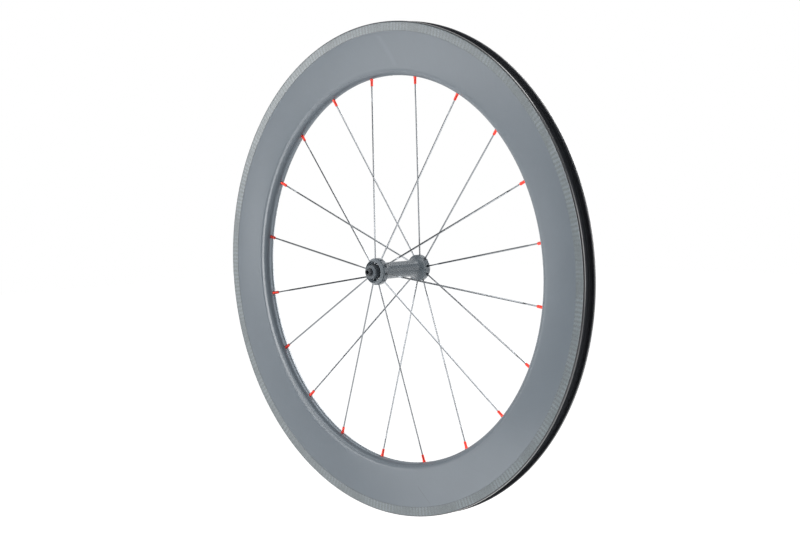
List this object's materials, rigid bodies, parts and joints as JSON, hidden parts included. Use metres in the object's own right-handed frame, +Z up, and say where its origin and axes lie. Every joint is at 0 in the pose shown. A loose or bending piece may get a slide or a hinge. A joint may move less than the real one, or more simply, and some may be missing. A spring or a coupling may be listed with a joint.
{
  "type": "bicycle front wheel",
  "caption": "Front road bicycle wheel with a deep hollow carbon rim for a clincher tyre, radial bladed spokes, red nipples and a small hub that turns on sealed bearings.",
  "frame": {"origin": "centre of the wheel, midway along the axle", "axes": "+Y along the axle towards the wheel's left side, +Z up through the valve hole, +X forward"},
  "size_m": [0.633, 0.11, 0.633],
  "materials": {
    "carbon": "matte carbon laminate, woven on the brake track",
    "spoke": "stainless, rolled and polished",
    "nipple": "red anodised, satin",
    "hub": "grey anodised, satin",
    "end_cap": "grey anodised, turned",
    "axle": "turned, dark anodised",
    "bearing_steel": "ground steel",
    "cage": "moulded nylon",
    "seal": "black rubber"
  },
  "bodies": {
    "axle": {"axle": "axle", "end_cap_left": "end_cap", "bearing_inner_ring_left": "bearing_steel", "end_cap_right": "end_cap", "bearing_inner_ring_right": "bearing_steel"},
    "wheel": {"rim": "carbon", "hub_shell": "hub", "spoke_left_01": "spoke", "spoke_left_02": "spoke", "spoke_left_03": "spoke", "spoke_left_04": "spoke", "spoke_left_05": "spoke", "spoke_left_06": "spoke", "spoke_left_07": "spoke", "spoke_left_08": "spoke", "spoke_left_09": "spoke", "spoke_left_10": "spoke", "spoke_right_01": "spoke", "spoke_right_02": "spoke", "spoke_right_03": "spoke", "spoke_right_04": "spoke", "spoke_right_05": "spoke", "spoke_right_06": "spoke", "spoke_right_07": "spoke", "spoke_right_08": "spoke", "spoke_right_09": "spoke", "spoke_right_10": "spoke", "nipples_left": "nipple", "bearing_outer_ring_left": "bearing_steel", "bearing_seals_left": "seal", "nipples_right": "nipple", "bearing_outer_ring_right": "bearing_steel", "bearing_seals_right": "seal"},
    "cage_left": {"bearing_cage_left": "cage", "bearing_balls_left": "bearing_steel"},
    "cage_right": {"bearing_cage_right": "cage", "bearing_balls_right": "bearing_steel"}
  },
  "joints": [
    {"name": "wheel_spin", "type": "hinge", "parent": "axle", "child": "wheel", "pos_m": [0, 0, 0], "axis": [0, 1, 0], "continuous": true},
    {"name": "cage_left_roll", "type": "hinge", "parent": "axle", "child": "cage_left", "pos_m": [0, 0.0335, 0], "axis": [0, 1, 0], "continuous": true},
    {"name": "cage_right_roll", "type": "hinge", "parent": "axle", "child": "cage_right", "pos_m": [0, -0.0335, 0], "axis": [0, 1, 0], "continuous": true}
  ],
  "couplings": [
    {"joint": "cage_left_roll", "follows": "wheel_spin", "ratio": 0.58207},
    {"joint": "cage_right_roll", "follows": "wheel_spin", "ratio": 0.58207}
  ]
}
